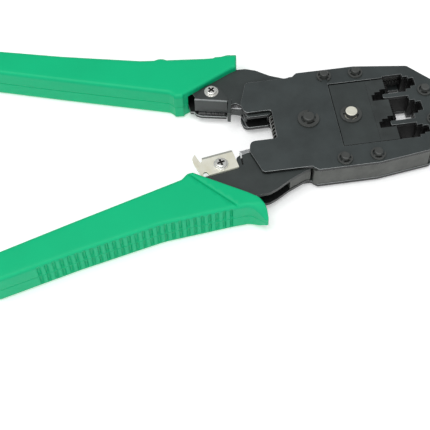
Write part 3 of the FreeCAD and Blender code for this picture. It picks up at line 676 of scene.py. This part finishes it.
def hollow(piece, side):
    """Cuts the tail's channel out of a grip, between the arm's outer faces."""
    mesh = bmesh.new()
    low = [mesh.verts.new((x * MM, side * y * MM, (ARM_LOW - TAIL_ROOM) * MM)) for x, y in CHANNEL]
    high = [mesh.verts.new((x * MM, side * y * MM, (ARM_HIGH + TAIL_ROOM) * MM)) for x, y in CHANNEL]
    mesh.faces.new(low)
    mesh.faces.new(high)
    for i in range(len(low)):
        j = (i + 1) % len(low)
        mesh.faces.new((low[i], low[j], high[j], high[i]))
    bmesh.ops.recalc_face_normals(mesh, faces=mesh.faces)
    data = bpy.data.meshes.new("channel")
    mesh.to_mesh(data)
    mesh.free()
    tool = bpy.data.objects.new("channel", data)
    bpy.context.scene.collection.objects.link(tool)
    cut = piece.modifiers.new("channel", "BOOLEAN")
    cut.object = tool
    cut.solver = "EXACT"
    bpy.context.view_layer.update()
    shown = piece.evaluated_get(bpy.context.evaluated_depsgraph_get())
    made = bpy.data.meshes.new_from_object(shown)
    piece.modifiers.clear()
    piece.data = made
    bpy.data.objects.remove(tool)


for grip in (Grip("moving_grip_skin", "moving_grip", "moving_handle", -1, MOVING_FRONT, True),
             Grip("fixed_grip_skin", "fixed_grip", "head", 1, FIXED_FRONT, False)):
    skin = grip.build()
    hollow(skin, grip.side)
    finish_piece(skin, GRIP_GREEN, grip.body, "green_grip", grip.node)


# ---- floor, light and camera -----------------------------------------------------
SKY_LIGHT = 0.46
SKY_DARK = (0.06, 0.555, 0.83)    # middle of the darker part of the sky
SKY_PALE_TONE, SKY_DARK_TONE = (0.97, 0.99, 1.0), (0.62, 0.64, 0.65)
FLOOR_GLOW = 0.28
FLOOR_SIZE = 6.0
LAMP_AIM = Vector((-0.03, 0.0, 0.0))


def sky(nodes, links):
    """Pale surround, darker in the part of the sky that the flat tops mirror towards the camera."""
    place = nodes.new("ShaderNodeTexCoord").outputs["Generated"]
    dot = nodes.new("ShaderNodeVectorMath")
    dot.operation = "DOT_PRODUCT"
    dot.inputs[1].default_value = SKY_DARK
    links.new(place, dot.inputs[0])
    ramp = nodes.new("ShaderNodeValToRGB")
    low, high = ramp.color_ramp.elements
    low.position, low.color = 0.62, (*(SKY_LIGHT * c for c in SKY_PALE_TONE), 1.0)
    high.position, high.color = 0.90, (*(SKY_LIGHT * c for c in SKY_DARK_TONE), 1.0)
    links.new(dot.outputs["Value"], ramp.inputs["Fac"])
    links.new(ramp.outputs["Color"], nodes["Background"].inputs["Color"])


def lamp(name, place, width, height, power):
    """Soft rectangular light turned towards the tool."""
    light = bpy.data.lights.new(name, "AREA")
    light.shape = "RECTANGLE"
    light.size = width
    light.size_y = height
    light.energy = power
    piece = bpy.data.objects.new(name, light)
    bpy.context.scene.collection.objects.link(piece)
    piece.location = place
    piece.rotation_mode = "QUATERNION"
    piece.rotation_quaternion = (LAMP_AIM - Vector(place)).to_track_quat("-Z", "Y")


def studio():
    """Glowing white floor, a pale surround and two soft lights."""
    world = bpy.data.worlds.new("studio")
    bpy.context.scene.world = world
    world.use_nodes = True
    sky(world.node_tree.nodes, world.node_tree.links)
    bpy.ops.mesh.primitive_plane_add(size=FLOOR_SIZE, location=(0.0, 0.0, 0.0))
    floor = bpy.context.object
    floor.name = "floor"
    t = Tree("floor_paper")
    paper = t.mix(t.noise(40.0, 2.0), (0.93, 0.93, 0.93), (0.95, 0.95, 0.95))
    t.set(Base_Color=paper, Roughness=0.9, Specular_IOR_Level=0.1)
    t.set(Emission_Color=(1.0, 1.0, 1.0, 1.0), Emission_Strength=FLOOR_GLOW)
    floor.data.materials.append(t.material)
    lamp("key", (-0.30, -0.10, 1.20), 1.0, 1.0, 9.4)
    lamp("front", (0.05, -0.95, 0.62), 1.2, 0.36, 3.2)


# The camera as solved from the photograph: the point it looks at, its angles and its distance.
AIM = Vector((-0.04515, -0.04159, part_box("top_side_plate")[1].z))
AZIMUTH, ELEVATION, ROLL = (math.radians(a) for a in (-6.07, 56.3, -2.18))
DISTANCE = 0.3921
SENSOR = 36.0
FOCAL, PICTURE = 1000.0, 430.0    # focal length and picture width in the same unit
LENS = SENSOR * FOCAL / PICTURE


def place_camera():
    """Camera in the photograph's place, with its roll."""
    data = bpy.data.cameras.new("camera")
    data.sensor_width = SENSOR
    data.lens = LENS
    data.clip_start = 0.01
    data.clip_end = 20.0
    camera = bpy.data.objects.new("camera", data)
    bpy.context.scene.collection.objects.link(camera)
    right = Vector((math.cos(AZIMUTH), math.sin(AZIMUTH), 0.0))
    back = Vector((math.sin(AZIMUTH) * math.cos(ELEVATION), -math.cos(AZIMUTH) * math.cos(ELEVATION),
                   math.sin(ELEVATION)))
    up = back.cross(right)
    x_axis = right * math.cos(ROLL) + up * math.sin(ROLL)
    y_axis = up * math.cos(ROLL) - right * math.sin(ROLL)
    turn = Matrix((x_axis, y_axis, back)).transposed().to_4x4()
    camera.matrix_world = Matrix.Translation(AIM + back * DISTANCE) @ turn
    bpy.context.scene.camera = camera


studio()
place_camera()
bpy.context.scene.view_settings.view_transform = "Standard"
